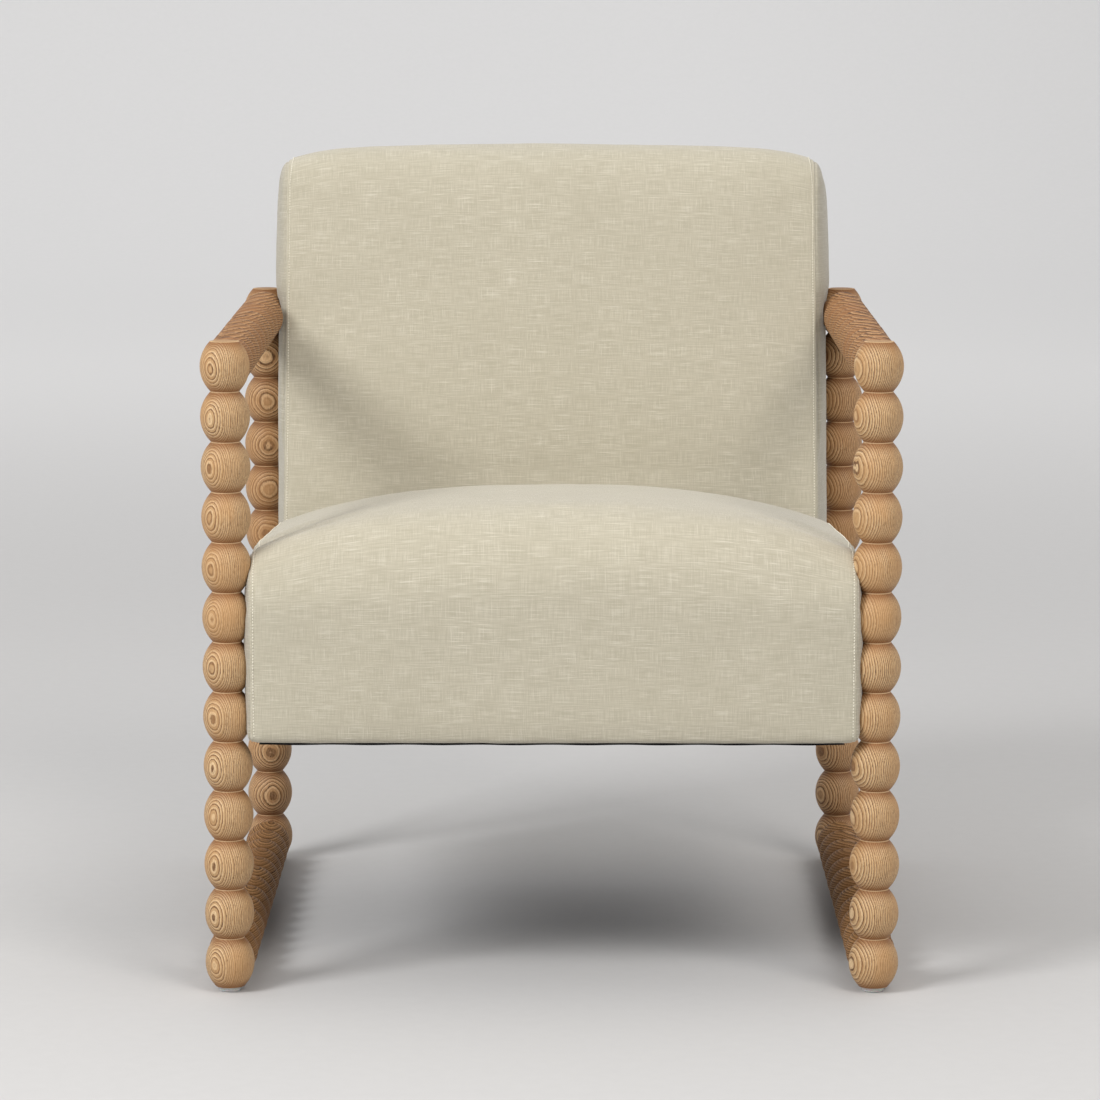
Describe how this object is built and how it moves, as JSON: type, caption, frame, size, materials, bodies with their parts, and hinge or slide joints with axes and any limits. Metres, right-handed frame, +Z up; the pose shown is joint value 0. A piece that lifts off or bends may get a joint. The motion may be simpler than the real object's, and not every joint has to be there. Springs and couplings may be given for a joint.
{
  "type": "upholstered armchair",
  "caption": "Armchair with a thick crowned seat and raked back, both upholstered in linen, between square side frames of bead-turned wood.",
  "frame": {"origin": "on the floor, under the middle of the chair's footprint", "axes": "+Z up; +Y towards the back of the chair; +X to the right as seen from in front"},
  "size_m": [0.6956, 0.7578, 0.8167],
  "materials": {
    "turned_oak": "matte",
    "frame_wood": "matte",
    "linen": "matte",
    "foam": "matte",
    "felt": "matte",
    "dust_cloth": "matte",
    "webbing": "matte",
    "board": "matte",
    "steel": "satin",
    "zinc": "satin",
    "glide_plastic": "satin"
  },
  "bodies": {
    "root": {"arm_rail_left": "turned_oak", "arm_rail_right": "turned_oak", "back_cover": "linen", "back_foam": "foam", "back_frame_dowels": "frame_wood", "back_side_padding_left": "felt", "back_side_padding_right": "felt", "back_stile_left": "frame_wood", "back_stile_right": "frame_wood", "back_tack_rail": "frame_wood", "back_top_rail": "frame_wood", "back_webbing": "webbing", "base_rail_left": "turned_oak", "base_rail_right": "turned_oak", "bolt_spacers": "steel", "bolt_washers": "steel", "corner_block_screws": "steel", "corner_dowels_left": "frame_wood", "corner_dowels_right": "frame_wood", "dust_cover": "dust_cloth", "dust_cover_staples": "steel", "floor_glides": "glide_plastic", "front_post_left": "turned_oak", "front_post_right": "turned_oak", "glide_nails": "steel", "outside_back_board": "board", "post_bolts": "steel", "post_inserts": "zinc", "rear_post_left": "turned_oak", "rear_post_right": "turned_oak", "seat_corner_blocks": "frame_wood", "seat_cover": "linen", "seat_deck_pad": "felt", "seat_foam": "foam", "seat_frame_dowels": "frame_wood", "seat_front_padding": "felt", "seat_front_rail": "frame_wood", "seat_rear_rail": "frame_wood", "seat_side_padding_left": "felt", "seat_side_padding_right": "felt", "seat_side_rail_left": "frame_wood", "seat_side_rail_right": "frame_wood", "seat_springs": "steel", "spring_clips": "steel"}
  },
  "joints": []
}
